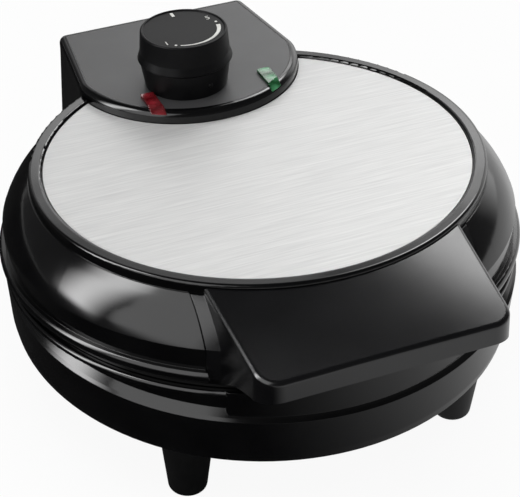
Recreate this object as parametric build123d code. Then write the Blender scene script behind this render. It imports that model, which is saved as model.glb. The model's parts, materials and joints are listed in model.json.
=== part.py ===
from build123d import *
from math import asin, cos, degrees, hypot, radians, sin, sqrt
import os

# Heart waffle iron. Millimetres, +Z up, the handle points to -Y, the hinge is at +Y.
# The origin is on the table, under the middle of the whole appliance.
# Pieces are drawn about the body axis. Those of the lid and both plates are drawn square to
# the parting plane, which leans down to the rear, and are tilted into place at the end.

# Fits
FIT_LOOSE = 0.3        # gap between pieces that only sit beside each other
FIT_RUNNING = 0.05     # radial gap of a turning shaft or pin
FIT_INLAY = 0.1        # gap round an inlaid plate or lens

# Base shell. The band's radius is the main one: the other radii step in or out from it.
BASE_WALL = 3.0
BAND_TOP_R = 112.3
BAND_DRAFT = 2.0       # the band narrows this much to its lower edge
BAND_BEVEL_OUT = 0.8   # the lower edge is bevelled back to this much more than its radius
BAND_BEVEL_H = 4.0
BAND_BOTTOM_Z = 34.7
BAND_H = 22.8
COLLAR_IN = 3.7
COLLAR_STEP = 4.2
LIP_OUT = 3.4
LIP_H = 3.5
BULGE = 1.2            # roundness of the outer edge of each lip

BAND_BOTTOM_R = BAND_TOP_R - BAND_DRAFT
BAND_BEVEL_R = BAND_BOTTOM_R + BAND_BEVEL_OUT
BAND_TOP_Z = BAND_BOTTOM_Z + BAND_H
COLLAR_R = BAND_TOP_R - COLLAR_IN
COLLAR_Z = BAND_TOP_Z + COLLAR_STEP
BASE_LIP_R = COLLAR_R + LIP_OUT

# Parting plane
LID_TILT = 5.17        # degrees, the front is the higher side
LID_AXIS_Y = 1.5       # lid axis behind the base axis
PART_RISE = 5.0        # height of the parting plane over the band, on the lid axis
PART_HEIGHT = BAND_TOP_Z + PART_RISE

# Lower front block under the handle
BLOCK_HALF_W = 54.0
BLOCK_OUT = 1.8        # how far the block stands out from the collar
BLOCK_ROUND = 2.0

# Bottom cover, legs and feet
COVER_T = 2.5
COVER_STEP = 0.5       # the cover's rim lies this far inside the band's lower edge
COVER_SLOPE_L = 12.8   # from the rim in to the knee
COVER_SLOPE_H = 8.3
COVER_KNEE_L = 7.0     # from the knee in to the flat bottom
COVER_KNEE_H = 1.4
LEG_X = 62.2
LEG_Y = 71.5
LEG_TOP_R = 11.8
LEG_TIP_R = 8.2
LEG_ROUND = 2.4
FOOT_R = 5.4
FOOT_SEAT = 2.2
FOOT_OUT = 0.8
VENT_COUNT = 6
VENT_L = 44.0
VENT_W = 3.2
VENT_PITCH = 9.0
COVER_SCREW_IN = 5.8   # the screws stand this far inside the cover's rim
COVER_SCREW_ANGLES = (8, 172, 196, 344)
COVER_BOSS_R = 5.2
COVER_BOSS_H = 13.0
COVER_RIM_R = BAND_BOTTOM_R - COVER_STEP
COVER_KNEE_R = COVER_RIM_R - COVER_SLOPE_L
COVER_KNEE_Z = BAND_BOTTOM_Z - COVER_SLOPE_H
COVER_FLAT_R = COVER_KNEE_R - COVER_KNEE_L
COVER_FLAT_Z = COVER_KNEE_Z - COVER_KNEE_H
COVER_SCREW_R = COVER_RIM_R - COVER_SCREW_IN

# Plates
LIP_W = 8.3            # width of the lip round the plate
FLANGE_W = 7.9
FLANGE_T = 3.0
PLATE_GAP = 0.2        # each plate stays this far from the parting plane
LOWER_DEPTH = 9.8
UPPER_DEPTH = 8.0
FLOOR_T = 3.2
HEART_COUNT = 5
HEART_EDGE = 9.5       # from the hearts out to the edge of the dish
HEART_TIP = 5.0
LOBE_SPREAD = 0.72     # lobe centre from the heart's axis, as a share of the lobe radius
WEB_R = 58.0           # inside this radius the hearts are joined by a thin web of batter
WEB_DEPTH = 2.5
RIDGE_W = 2.4
RIDGE_PITCH = 10.5
RIDGE_H_LOWER = 4.5
RIDGE_H_UPPER = 3.5
RIDGE_SPAN = 5         # ridges on each side of the middle one
SHELF_T = 3.0
SHELF_W = 4.4          # how far the shelf reaches under the flange
PLATE_BOSS_R = 4.6
PLATE_BOSS_IN = 11.5   # the bosses stand this far inside the edge of the dish
PLATE_BOSS_ANGLES = (30, 150, 270)
PLATE_R = BASE_LIP_R - LIP_W - FIT_LOOSE
DISH_R = PLATE_R - FLANGE_W
HEART_REACH = DISH_R - HEART_EDGE
SHELF_IN_R = PLATE_R - SHELF_W
PLATE_BOSS_AT = DISH_R - PLATE_BOSS_IN

# Heaters and heat shields
HEATER_R = 52.0
TUBE_R = 3.2
HEATER_SWEEP = 325.0
TERMINAL_R = 1.8
TERMINAL_L = 4.5
SHIELD_T = 0.7
SHIELD_RIM_IN = 1.9    # the shield's rim ends this far inside the plate's
SHIELD_WALL_OUT = 1.1  # its wall stands this far outside the dish
SHIELD_HOLE_R = 4.6
SHIELD_RIM_R = PLATE_R - SHIELD_RIM_IN
SHIELD_WALL_R = DISH_R + SHIELD_WALL_OUT

# Lid shell
LID_WALL = 3.0
LID_GAP = 0.3
LID_FOOT_OUT = 0.2     # how far the lid's lowest edge stands out from the collar
LIP_Z = 4.8
LID_LIP_H = 4.8
LID_LIP_OVER = 1.6     # how far the lid's lip stands out from the base's
SKIRT_IN = 3.0
SKIRT_DRAFT = 0.4
SHOULDER_Z = 19.6
CONE_IN = 12.4
CONE_H = 17.4
CONE_CROWN = 1.5       # how far the cone wall swells past a straight line
RIM_STEP = 0.4
RIM_W = 6.0
RIM_ROUND = 1.4
RIM_H = 1.9            # how far the rim stands above the roof
ROOF_RISE = 3.0        # roof above the top of the cone wall
ROOF_T = 2.6
DISC_T = 0.8
DISC_GAP = 0.4         # between the disc and the rim or the control panel
LID_FOOT_R = COLLAR_R + LID_FOOT_OUT
LID_LIP_R = BASE_LIP_R + LID_LIP_OVER
SKIRT_LOW_R = LID_LIP_R - SKIRT_IN
SHOULDER_R = SKIRT_LOW_R + SKIRT_DRAFT
CONE_TOP_R = SHOULDER_R - CONE_IN
CONE_TOP_Z = SHOULDER_Z + CONE_H
RIM_R = CONE_TOP_R - RIM_STEP
RIM_IN_R = RIM_R - RIM_W
FLOOR_Z = CONE_TOP_Z + ROOF_RISE
RIM_TOP_Z = FLOOR_Z + RIM_H
DISC_R = RIM_IN_R - DISC_GAP

# Hinge
HINGE_OUT = 11.7       # the hinge lies this far behind the band
HINGE_DROP = 1.0       # and this far below the middle of the parting plane
PIN_R = 2.5
EAR_IN_X = 34.0
EAR_T = 8.0
EAR_R = 7.0
EAR_ROOT_IN = 7.6      # the ears' roots start this far inside the collar
EAR_ROOT_DROP = 10.5
EAR_ROOT_H = 4.5
PIN_HEAD_R = 4.0
PIN_HEAD_T = 1.2
PIN_SKIN = 1.0         # the blind bore ends this far inside the narrowest side wall
HINGE_Y = BAND_TOP_R + HINGE_OUT
HINGE_Z = PART_HEIGHT - HINGE_DROP
EAR_ROOT_Y = COLLAR_R - EAR_ROOT_IN
EAR_ROOT_TOP = HINGE_Z - EAR_ROOT_DROP

# Rear housing and control panel
HOUSE_BEHIND = 12.4    # from the hinge to the housing's rear wall
HOUSE_ARC_L = 46.2     # from the rear wall to the centre of the front arc
HOUSE_ARC_R = 53.0
HOUSE_SIDE_L = 47.4    # from the rear wall to where the half width is taken
HOUSE_SIDE_W = 52.0
HOUSE_REAR_W = 46.6
HOUSE_REAR_ROUND = 4.0
HOUSE_SIDE_ROUND = 18.0
HOUSE_WALL = 2.6
HOUSE_FLARE = 2.0      # the walls lean out this much to their lower edge
PANEL_H = 6.5
PANEL_ROUND = 3.3
PANEL_T = 2.5
FASCIA_T = 0.8
FASCIA_EDGE = 0.3
ROOF_LEDGE = 9.0       # width of roof left under the panel's wall
HOUSE_REAR_Y = HINGE_Y + HOUSE_BEHIND
HOUSE_ARC_Y = HOUSE_REAR_Y - HOUSE_ARC_L
HOUSE_SIDE_Y = HOUSE_REAR_Y - HOUSE_SIDE_L
PANEL_Z = FLOOR_Z + PANEL_H

# Handle
HANDLE_REAR_W = 55.7
HANDLE_FRONT_W = 53.3
HANDLE_REACH = 37.2    # from the lid's rim to the handle's front edge
HANDLE_FRONT_Z = 28.4
HANDLE_DROP = 1.7      # the handle's top starts this far below the rim's
HANDLE_BAND = 9.4
HANDLE_WALL = 3.0
HANDLE_CORNER = 9.5
HANDLE_EDGE = 2.2
SLOPE_SPARE = 2.0      # the sloping top is drawn this much too large, then cut to the plan
ROOT_HALF_W = 60.3
ROOT_DEPTH = 1.5
HANDLE_BOSS_X = 32.0
HANDLE_BOSS_RISE = 5.4 # height of the bosses over the shoulder
HANDLE_BOSS_R = 4.2
HANDLE_BOSS_L = 22.0
WEB_LIFT = 1.8
WEB_ROOT_IN = 3.2      # lower edge of the webs: root, bend and end, from the rim
WEB_MID_OUT = 9.8
WEB_MID_Z = 10.3
WEB_END_OUT = 23.8
WEB_END_Z = 15.6
HANDLE_FRONT_Y = -RIM_R - HANDLE_REACH
HANDLE_REAR_Z = RIM_TOP_Z - HANDLE_DROP
HANDLE_BOSS_Z = SHOULDER_Z + HANDLE_BOSS_RISE
WEB_ROOT_Y = -RIM_R + WEB_ROOT_IN
WEB_MID_Y = -RIM_R - WEB_MID_OUT
WEB_END_Y = -RIM_R - WEB_END_OUT

# Knob, collar and thermostat
KNOB_X = -7.0
KNOB_IN = 22.7         # from the centre of the housing's arc forward to the knob
KNOB_Y = HOUSE_ARC_Y - KNOB_IN
KNOB_H = 26.5
KNOB_TOP_R = 19.6
KNOB_BODY_R = 20.3
KNOB_RIDGE_R = 21.4
KNOB_RIDGE_Z = 12.6
KNOB_RIDGE_H = 4.0     # the knob flares over this height down to its lower edge
KNOB_WALL = 2.0
KNOB_DISH = 0.5
KNOB_GAP = 0.4
COLLAR_TOP_R = 20.5
COLLAR_BASE_R = 18.6
COLLAR_WALL = 1.8
SHAFT_R = 3.0
HUB_R = 6.0
SHAFT_IN = 6.3         # how far the shaft reaches into the thermostat
INDEX_R = 1.1
INK_T = 0.15
INDEX_ANGLE = -76.0    # degrees about the knob's axis, from +X
ARC_R = 15.8
ARC_W_THICK = 1.9
ARC_W_THIN = 0.5
ARC_START = -115.0
ARC_END = -8.0
ARC_STEPS = 16
DOT_R = 0.6
DOT_MIN_ANGLE = -122.5
DOT_MAX_ANGLE = 3.0
DASH_ANGLE = 89.5
DASH_R = 15.2
DASH_L = 3.6
DASH_W = 1.4
THERMOSTAT_L = 30.0
THERMOSTAT_W = 24.0
THERMOSTAT_H = 12.0
BRACKET_T = 1.2
BRACKET_H = 9.6

# Pilot lights
LENS_X = 28.1
LENS_W = 6.0
LENS_IN = 27.0         # from the centre of the housing's arc forward to the lens's rear end
LENS_OUT = 1.3
LENS_ROUND = 2.4       # corner radius of the lens's rear end
LENS_NOSE_L = 3.6      # length of the slope that follows the panel's round front edge
LENS_DROP = 1.4        # the slope ends this far below the panel's top
LENS_STEM_W = 3.0
LENS_STEM_L = 11.0
LENS_STEM_IN = 7.2     # the stem's middle lies this far in front of the lens's rear end
LENS_STEM_H = 3.5
LAMP_R = 2.5
LAMP_L = 12.0
LAMP_ROUND = 2.0
LAMP_BACK = 9.0        # the lamp's middle lies this far behind the stem's
LENS_FRONT_Y = HOUSE_ARC_Y - HOUSE_ARC_R
LENS_REAR_Y = HOUSE_ARC_Y - LENS_IN
LENS_STEM_Y = LENS_REAR_Y - LENS_STEM_IN

# Mains inlet
GLAND_ANGLE = 55.0
GLAND_RISE = 7.1       # height of the cord entry over the band's lower edge
GLAND_BORE_R = 3.3
GLAND_NECK_R = 4.6
GLAND_FLANGE_R = 6.4
GLAND_FLANGE_T = 3.0
GLAND_ROUND = 1.0
GLAND_SEAT = 1.0
GLAND_NECK_L = 6.0
GLAND_BARB = 0.5
GLAND_Z = BAND_BOTTOM_Z + GLAND_RISE
TERMINAL_X = 26.0
TERMINAL_Y = 16.0
TERMINAL_Z = 8.0
TERMINAL_WAYS = 3
TERMINAL_AT_X = 56.0
TERMINAL_AT_Y = 30.0

# Screws
SCREW_R = 1.6
SCREW_HEAD_R = 3.2
SCREW_HEAD_H = 2.0
SCREW_HOLE_R = 1.9
SCREW_HEAD_ROUND = 0.9
SCREW_ROOM = 0.8       # how far a threaded hole runs past the screw's tip
SLOT_L = 3.84
SLOT_W = 0.8
SLOT_DEPTH = 1.0
COVER_SEAT_T = 2.8     # thickness of the bottom cover under the screws' heads
COVER_SCREW_L = 12.0
PLATE_SCREW_L = 9.0
PANEL_SCREW_L = 6.5
PANEL_SCREWS = ((33.2, 33.2), (43.3, 18.3))  # to the side, and forward of the arc's centre
PANEL_BOSS_R = 3.0
HANDLE_SCREW_L = 18.0
HANDLE_SEAT_IN = 4.6   # the handle screws' heads sit this far inside the top of the cone
BIG = 400.0            # longer than anything, for cutting
TALL = 50.0            # taller than the handle, for cutting
COVER_HEAD_Z = BAND_BOTTOM_Z - COVER_SEAT_T
HANDLE_SEAT_Y = CONE_TOP_R - HANDLE_SEAT_IN

LID_FRAME = Location((0, LID_AXIS_Y, PART_HEIGHT), (-LID_TILT, 0, 0))


def lid_to_body(y, z):
    """Height and depth of a lid point in the upright frame."""
    lean = radians(LID_TILT)
    depth = LID_AXIS_Y + y * cos(lean) + z * sin(lean)
    height = PART_HEIGHT - y * sin(lean) + z * cos(lean)
    return depth, height


FRONT_REACH = lid_to_body(HANDLE_FRONT_Y, HANDLE_FRONT_Z - HANDLE_BAND)[0]
REAR_REACH = lid_to_body(HOUSE_REAR_Y - PANEL_ROUND, PANEL_Z - PANEL_ROUND)[0] + PANEL_ROUND
TO_ORIGIN = Pos(0, -(FRONT_REACH + REAR_REACH) / 2, 0)


def spun(outline):
    """Turn a closed outline of radius and height points about the Z axis."""
    return revolve(make_face(Plane.XZ * outline), Axis.Z)


def ring(inner, outer, low, high):
    """Plain ring about the Z axis."""
    return Pos(0, 0, low) * extrude(Circle(outer) - Circle(inner), high - low)


def disc(radius, low, high):
    """Plain disc about the Z axis."""
    return Pos(0, 0, low) * extrude(Circle(radius), high - low)


def block(x_low, x_high, y_low, y_high, z_low, z_high):
    """Box between two corners."""
    size = (x_high - x_low, y_high - y_low, z_high - z_low)
    centre = Pos((x_low + x_high) / 2, (y_low + y_high) / 2, (z_low + z_high) / 2)
    return centre * Box(*size)


def polar(radius, angle):
    """Point at a radius and an angle in degrees."""
    return radius * cos(radians(angle)), radius * sin(radians(angle))


def joined(shapes):
    """Group separate solids of one node."""
    return Compound(children=list(shapes))


def screw(length):
    """Pan head screw that points along +Z, with its head below the origin."""
    shank = disc(SCREW_R, 0, length)
    head = disc(SCREW_HEAD_R, -SCREW_HEAD_H, 0)
    head = fillet(head.edges().group_by(Axis.Z)[0], SCREW_HEAD_ROUND)
    slit = block(-SLOT_L / 2, SLOT_L / 2, -SLOT_W / 2, SLOT_W / 2, -BIG, SLOT_DEPTH - SCREW_HEAD_H)
    return shank + head - slit - Rot(0, 0, 90) * slit


# Base

ABOVE_PARTING = LID_FRAME * block(-BIG, BIG, -BIG, BIG, 0, BIG)


def base_form(inset, drop):
    """Solid inside the band and the collar, drawn in by a wall and lowered by a drop."""
    outline = Polyline(
        (0, BAND_BOTTOM_Z - drop),
        (BAND_BOTTOM_R - inset, BAND_BOTTOM_Z - drop),
        (BAND_BEVEL_R - inset, BAND_BOTTOM_Z + BAND_BEVEL_H),
        (BAND_TOP_R - inset, BAND_TOP_Z - drop),
        (BAND_TOP_R - BULGE - inset, BAND_TOP_Z + BULGE - drop),
        (COLLAR_R - inset, COLLAR_Z - drop),
        (COLLAR_R - inset, BIG),
        (0, BIG),
        close=True,
    )
    return spun(outline)


def lip_ring(inner, outer, low, high):
    """Ring about the Z axis whose outer edge is rounded."""
    outline = (
        Polyline((outer - BULGE, low), (inner, low), (inner, high), (outer - BULGE, high))
        + ThreePointArc((outer - BULGE, high), (outer, (low + high) / 2), (outer - BULGE, low))
    )
    return spun(outline)


def ear(side):
    """Hinge ear that reaches back from the band."""
    outline = Polyline(
        (EAR_ROOT_Y, EAR_ROOT_TOP - EAR_ROOT_H),
        (HINGE_Y, HINGE_Z - EAR_R),
        (HINGE_Y, HINGE_Z + EAR_R),
        (EAR_ROOT_Y, EAR_ROOT_TOP),
        close=True,
    )
    arm = make_face(Plane.YZ * outline)
    eye = Plane.YZ * Pos(HINGE_Y, HINGE_Z) * Circle(EAR_R)
    start = EAR_IN_X if side > 0 else -EAR_IN_X - EAR_T
    return Pos(start, 0, 0) * extrude(arm + eye, EAR_T)


def gland_frame():
    """Frame on the flat seat of the mains inlet, its Z axis pointing out of the base."""
    rise = (GLAND_Z - BAND_BOTTOM_Z - BAND_BEVEL_H) / (BAND_H - BAND_BEVEL_H)
    wall_r = BAND_BEVEL_R + rise * (BAND_TOP_R - BAND_BEVEL_R)
    x, y = polar(wall_r - GLAND_SEAT, GLAND_ANGLE)
    out_x, out_y = polar(1, GLAND_ANGLE)
    return Plane((x, y, GLAND_Z), x_dir=(0, 0, 1), z_dir=(out_x, out_y, 0)).location


def make_base_shell():
    """Band, collar, upper lip, plate shelf, front block and hinge ears."""
    outer = base_form(0, 0)
    hollow = base_form(BASE_WALL, BASE_WALL)
    front = block(-BLOCK_HALF_W, BLOCK_HALF_W, -BIG, 0, BAND_TOP_Z - BASE_WALL, BIG)
    lip = LID_FRAME * lip_ring(PLATE_R + FIT_LOOSE, BASE_LIP_R, -LIP_H, 0) - front
    shelf = LID_FRAME * ring(SHELF_IN_R, BASE_LIP_R, -PLATE_GAP - FLANGE_T - SHELF_T, -PLATE_GAP - FLANGE_T)
    stub = ring(COLLAR_R - BASE_WALL, COLLAR_R + BLOCK_OUT, BAND_TOP_Z - BASE_WALL, BIG) & front
    corners = stub.edges().filter_by(Axis.Z).sort_by(Axis.Y)[:2]
    stub = fillet(corners, BLOCK_ROUND)
    shell = outer - hollow + (shelf & outer) + stub
    shell = shell - ABOVE_PARTING + lip
    for side in (-1, 1):
        shell += ear(side)
    for angle in COVER_SCREW_ANGLES:
        x, y = polar(COVER_SCREW_R, angle)
        boss = disc(COVER_BOSS_R, BAND_BOTTOM_Z, BAND_BOTTOM_Z + COVER_BOSS_H)
        hole = disc(SCREW_R + FIT_INLAY, 0, COVER_HEAD_Z + COVER_SCREW_L + SCREW_ROOM)
        shell = shell + Pos(x, y, 0) * boss - Pos(x, y, 0) * hole
    seat = disc(GLAND_FLANGE_R + FIT_LOOSE, 0, GLAND_FLANGE_T)
    bore = disc(GLAND_NECK_R + FIT_INLAY, -GLAND_NECK_L, BASE_WALL)
    shell = shell - gland_frame() * (seat + bore)
    pin_hole = Pos(0, HINGE_Y, HINGE_Z) * Rot(0, 90, 0) * disc(PIN_R + FIT_RUNNING, -BIG, BIG)
    return shell - pin_hole


def cover_form(lift):
    """Solid bowl of the bottom cover, raised by a wall."""
    shift = lift * (COVER_RIM_R - COVER_KNEE_R) / (BAND_BOTTOM_Z - COVER_KNEE_Z)
    outline = Polyline(
        (0, COVER_FLAT_Z + lift),
        (COVER_FLAT_R, COVER_FLAT_Z + lift),
        (COVER_KNEE_R, COVER_KNEE_Z + lift),
        (COVER_RIM_R - shift, BAND_BOTTOM_Z),
        (COVER_RIM_R - shift, BAND_BOTTOM_Z + COVER_T),
        (0, BAND_BOTTOM_Z + COVER_T),
        close=True,
    )
    return spun(outline)


def leg():
    """Tapered leg with a recess for its foot."""
    body = Pos(0, 0, FOOT_OUT) * Solid.make_cone(LEG_TIP_R, LEG_TOP_R, BAND_BOTTOM_Z - FOOT_OUT)
    body = fillet(body.edges().sort_by(Axis.Z)[0], LEG_ROUND)
    return body - disc(FOOT_R + FIT_INLAY, 0, FOOT_OUT + FOOT_SEAT)


def leg_places():
    """Where the four legs stand."""
    return [(x, y) for x in (-LEG_X, LEG_X) for y in (-LEG_Y, LEG_Y)]


def make_bottom_cover():
    """Bowl with its legs, screw posts and vents."""
    bowl = cover_form(0)
    hollow = cover_form(COVER_T)
    top = disc(BAND_BOTTOM_R, BAND_BOTTOM_Z, BIG)
    cover = bowl - hollow - top
    for angle in COVER_SCREW_ANGLES:
        x, y = polar(COVER_SCREW_R, angle)
        post = Pos(x, y, 0) * disc(COVER_BOSS_R, COVER_FLAT_Z, BAND_BOTTOM_Z)
        cover += post & bowl
    for x, y in leg_places():
        cover += Pos(x, y, 0) * leg() - hollow
    for angle in COVER_SCREW_ANGLES:
        x, y = polar(COVER_SCREW_R, angle)
        hole = disc(SCREW_HOLE_R, 0, BIG) + disc(SCREW_HEAD_R + FIT_LOOSE, 0, COVER_HEAD_Z)
        cover -= Pos(x, y, 0) * hole
    for number in range(VENT_COUNT):
        y = (number - (VENT_COUNT - 1) / 2) * VENT_PITCH
        slot = Pos(0, y, 0) * extrude(SlotOverall(VENT_L, VENT_W), BIG)
        cover -= slot
    return cover


def make_feet():
    """Soft pad under each leg."""
    pad = disc(FOOT_R, 0, FOOT_OUT + FOOT_SEAT)
    pad = chamfer(pad.edges().sort_by(Axis.Z)[0], FOOT_OUT / 2)
    return joined(Pos(x, y, 0) * pad for x, y in leg_places())


def make_cover_screws():
    """Screws that hold the bottom cover to the base shell."""
    places = [polar(COVER_SCREW_R, angle) for angle in COVER_SCREW_ANGLES]
    return joined(Pos(x, y, COVER_HEAD_Z) * screw(COVER_SCREW_L) for x, y in places)


def make_gland():
    """Bush that guards the mains cord where it enters the base."""
    flange = disc(GLAND_FLANGE_R, 0, GLAND_FLANGE_T)
    flange = fillet(flange.edges().group_by(Axis.Z)[-1], GLAND_ROUND)
    neck = disc(GLAND_NECK_R, -GLAND_NECK_L, 0)
    barb = disc(GLAND_NECK_R + GLAND_BARB, -GLAND_NECK_L, -BASE_WALL)
    bush = flange + neck + barb - disc(GLAND_BORE_R, -BIG, BIG)
    return gland_frame() * bush


def make_terminal_block():
    """Three-way screw terminal block on the bottom cover."""
    low = COVER_FLAT_Z + COVER_T
    body = block(-TERMINAL_X / 2, TERMINAL_X / 2, -TERMINAL_Y / 2, TERMINAL_Y / 2, low, low + TERMINAL_Z)
    for number in range(TERMINAL_WAYS):
        x = (number - (TERMINAL_WAYS - 1) / 2) * TERMINAL_X / TERMINAL_WAYS
        way = Rot(90, 0, 0) * disc(TERMINAL_R, -BIG, BIG)
        body -= Pos(x, 0, low + TERMINAL_Z / 3) * way
        body -= Pos(x, 0, 0) * disc(TERMINAL_R, low + TERMINAL_Z / 2, BIG)
    return Pos(TERMINAL_AT_X, TERMINAL_AT_Y, 0) * body


def make_hinge_pins():
    """Two headed pins through the ears and the sides of the rear housing."""
    length = HOUSE_REAR_W - PIN_SKIN - FIT_LOOSE - EAR_IN_X
    pin = disc(PIN_R, 0, length) + disc(PIN_HEAD_R, -PIN_HEAD_T, 0)
    right = Pos(EAR_IN_X, HINGE_Y, HINGE_Z) * Rot(0, 90, 0) * pin
    return joined([right, mirror(right, Plane.YZ)])


# Plates and heaters, drawn with Z as the distance from the parting plane

SHELF_Z = PLATE_GAP + FLANGE_T


def heart():
    """One heart, its tip near the middle and its lobes towards +X."""
    half = radians(180 / HEART_COUNT)
    grow = (1 + LOBE_SPREAD * cos(half)) / sin(half)
    a = LOBE_SPREAD ** 2 + grow ** 2 - 1
    b = HEART_REACH + HEART_TIP * grow
    c = HEART_TIP ** 2 - HEART_REACH ** 2
    lobe_r = (sqrt(b * b - a * c) - b) / a
    lobe_x = HEART_TIP + grow * lobe_r
    lobe_y = LOBE_SPREAD * lobe_r
    edge_x = lobe_x - lobe_r * sin(half)
    edge_y = lobe_y + lobe_r * cos(half)
    middle = make_face(
        Polyline(
            (HEART_TIP, 0),
            (edge_x, edge_y),
            (lobe_x, lobe_y),
            (lobe_x, -lobe_y),
            (edge_x, -edge_y),
            close=True,
        )
    )
    lobes = Pos(lobe_x, lobe_y) * Circle(lobe_r) + Pos(lobe_x, -lobe_y) * Circle(lobe_r)
    return middle + lobes


def ridge_grid():
    """Crossed bars, laid square to each other and at 45 degrees to the heart's axis."""
    bars = Sketch()
    for number in range(-RIDGE_SPAN, RIDGE_SPAN + 1):
        bar = Pos(0, number * RIDGE_PITCH) * Rectangle(BIG, RIDGE_W)
        bars += Rot(0, 0, 45) * bar
        bars += Rot(0, 0, -45) * bar
    return Pos(HEART_REACH / 2, 0) * bars


def shield_z(depth):
    """Distance of the heat shield from the parting plane."""
    return PLATE_GAP + depth + FLOOR_T + 2 * FIT_LOOSE + 2 * TUBE_R


def make_plate(depth, ridge_h):
    """Cast plate with five heart moulds, a flange and three screw bosses."""
    floor = PLATE_GAP + depth
    seat = shield_z(depth) + SHIELD_T
    plate = disc(PLATE_R, PLATE_GAP, SHELF_Z) + disc(DISH_R, PLATE_GAP, floor + FLOOR_T)
    shape = heart()
    mould = Pos(0, 0, PLATE_GAP) * extrude(shape, depth)
    ridges = Pos(0, 0, floor - ridge_h) * extrude(shape & ridge_grid(), ridge_h)
    turns = [Rot(0, 0, number * 360 / HEART_COUNT - 90) for number in range(HEART_COUNT)]
    for turn in turns:
        plate -= turn * mould
    plate -= disc(WEB_R, 0, PLATE_GAP + WEB_DEPTH)
    for turn in turns:
        plate += turn * ridges
    for angle in PLATE_BOSS_ANGLES:
        x, y = polar(PLATE_BOSS_AT, angle)
        boss = disc(PLATE_BOSS_R, floor + FLOOR_T, shield_z(depth))
        hole = disc(SCREW_R + FIT_INLAY, seat - PLATE_SCREW_L - SCREW_ROOM, BIG)
        plate = plate + Pos(x, y, 0) * boss - Pos(x, y, 0) * hole
    return plate


def heater_ends():
    """Where the two ends of the heater turn away from the plate."""
    gap = (360 - HEATER_SWEEP) / 2
    return [polar(HEATER_R, 90 - gap), polar(HEATER_R, 90 + gap)]


def make_heater(depth):
    """Tubular heater, nearly a full ring, with its two terminals."""
    mid = PLATE_GAP + depth + FLOOR_T + FIT_LOOSE + TUBE_R
    start = 90 + (360 - HEATER_SWEEP) / 2
    section = Plane.XZ * Pos(HEATER_R, 0) * Circle(TUBE_R)
    tube = Pos(0, 0, mid) * Rot(0, 0, start) * revolve(section, Axis.Z, HEATER_SWEEP)
    for x, y in heater_ends():
        elbow = Pos(0, 0, mid) * Sphere(TUBE_R)
        stub = disc(TUBE_R, mid, mid + 2 * TUBE_R)
        pin = disc(TERMINAL_R, mid + 2 * TUBE_R, mid + 2 * TUBE_R + TERMINAL_L)
        tube += Pos(x, y, 0) * (elbow + stub + pin)
    return tube


def make_shield(depth):
    """Dished heat shield whose rim clamps the plate to the shelf."""
    rim = SHELF_Z + SHELF_T
    floor = shield_z(depth)
    outline = Polyline(
        (0, floor),
        (SHIELD_WALL_R, floor),
        (SHIELD_WALL_R, rim),
        (SHIELD_RIM_R, rim),
        (SHIELD_RIM_R, rim + SHIELD_T),
        (SHIELD_WALL_R + SHIELD_T, rim + SHIELD_T),
        (SHIELD_WALL_R + SHIELD_T, floor + SHIELD_T),
        (0, floor + SHIELD_T),
        close=True,
    )
    shield = spun(outline)
    for x, y in heater_ends():
        shield -= Pos(x, y, 0) * disc(SHIELD_HOLE_R, 0, BIG)
    for angle in PLATE_BOSS_ANGLES:
        x, y = polar(PLATE_BOSS_AT, angle)
        shield -= Pos(x, y, 0) * disc(SCREW_HOLE_R, 0, BIG)
    return shield


def make_plate_screws(depth):
    """Screws that draw the shield and the plate together."""
    seat = shield_z(depth) + SHIELD_T
    turned = Pos(0, 0, seat) * Rot(180, 0, 0) * screw(PLATE_SCREW_L)
    places = [polar(PLATE_BOSS_AT, angle) for angle in PLATE_BOSS_ANGLES]
    return joined(Pos(x, y, 0) * turned for x, y in places)


def below(shape):
    """Place a piece drawn from the parting plane in the base."""
    return LID_FRAME * mirror(shape, Plane.XY)


# Lid

LIP_TOP_Z = LIP_Z + LID_LIP_H


def cone_path(inset):
    """Swelling wall from the shoulder to the rim, drawn in by an inset."""
    rise = CONE_TOP_Z - SHOULDER_Z
    fall = SHOULDER_R - CONE_TOP_R
    length = hypot(rise, fall)
    middle_r = (SHOULDER_R + CONE_TOP_R) / 2 + CONE_CROWN * rise / length - inset
    middle_z = (SHOULDER_Z + CONE_TOP_Z) / 2 + CONE_CROWN * fall / length
    low = (SHOULDER_R - inset, SHOULDER_Z)
    high = (CONE_TOP_R - inset, CONE_TOP_Z)
    return ThreePointArc(low, (middle_r, middle_z), high)


def cone_form(inset):
    """Solid inside the skirt and the cone wall."""
    top_r = CONE_TOP_R - inset
    outline = Polyline(
        (top_r, CONE_TOP_Z),
        (0, CONE_TOP_Z),
        (0, LIP_Z),
        (SKIRT_LOW_R - inset, LIP_Z),
        (SHOULDER_R - inset, SHOULDER_Z),
    )
    return spun(outline + cone_path(inset))


def house_outline():
    """Plan of the rear housing: an arc to the front and sides that taper to the rear."""
    taper = (HOUSE_SIDE_W - HOUSE_REAR_W) / (HOUSE_REAR_Y - HOUSE_SIDE_Y)
    front_y = HOUSE_ARC_Y - HOUSE_ARC_R
    front_w = HOUSE_SIDE_W + taper * (HOUSE_SIDE_Y - front_y)
    wedge = make_face(
        Polyline(
            (-front_w, front_y),
            (front_w, front_y),
            (HOUSE_REAR_W, HOUSE_REAR_Y),
            (-HOUSE_REAR_W, HOUSE_REAR_Y),
            close=True,
        )
    )
    long = Pos(0, HOUSE_ARC_Y + BIG / 2) * Rectangle(2 * HOUSE_ARC_R, BIG)
    plan = wedge & (Pos(0, HOUSE_ARC_Y) * Circle(HOUSE_ARC_R) + long)
    corners = plan.vertices().sort_by(Axis.Y)
    plan = fillet(corners[-2:], HOUSE_REAR_ROUND)
    shoulders = [v for v in plan.vertices() if HOUSE_ARC_Y - HOUSE_ARC_R < v.Y < HOUSE_SIDE_Y]
    return fillet(shoulders, HOUSE_SIDE_ROUND)


def house_prism(grow, low, high):
    """Upright prism over the housing's plan, grown or drawn in."""
    plan = house_outline()
    if grow:
        plan = offset(plan, grow)
    return Pos(0, 0, low) * extrude(plan, high - low)


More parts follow.
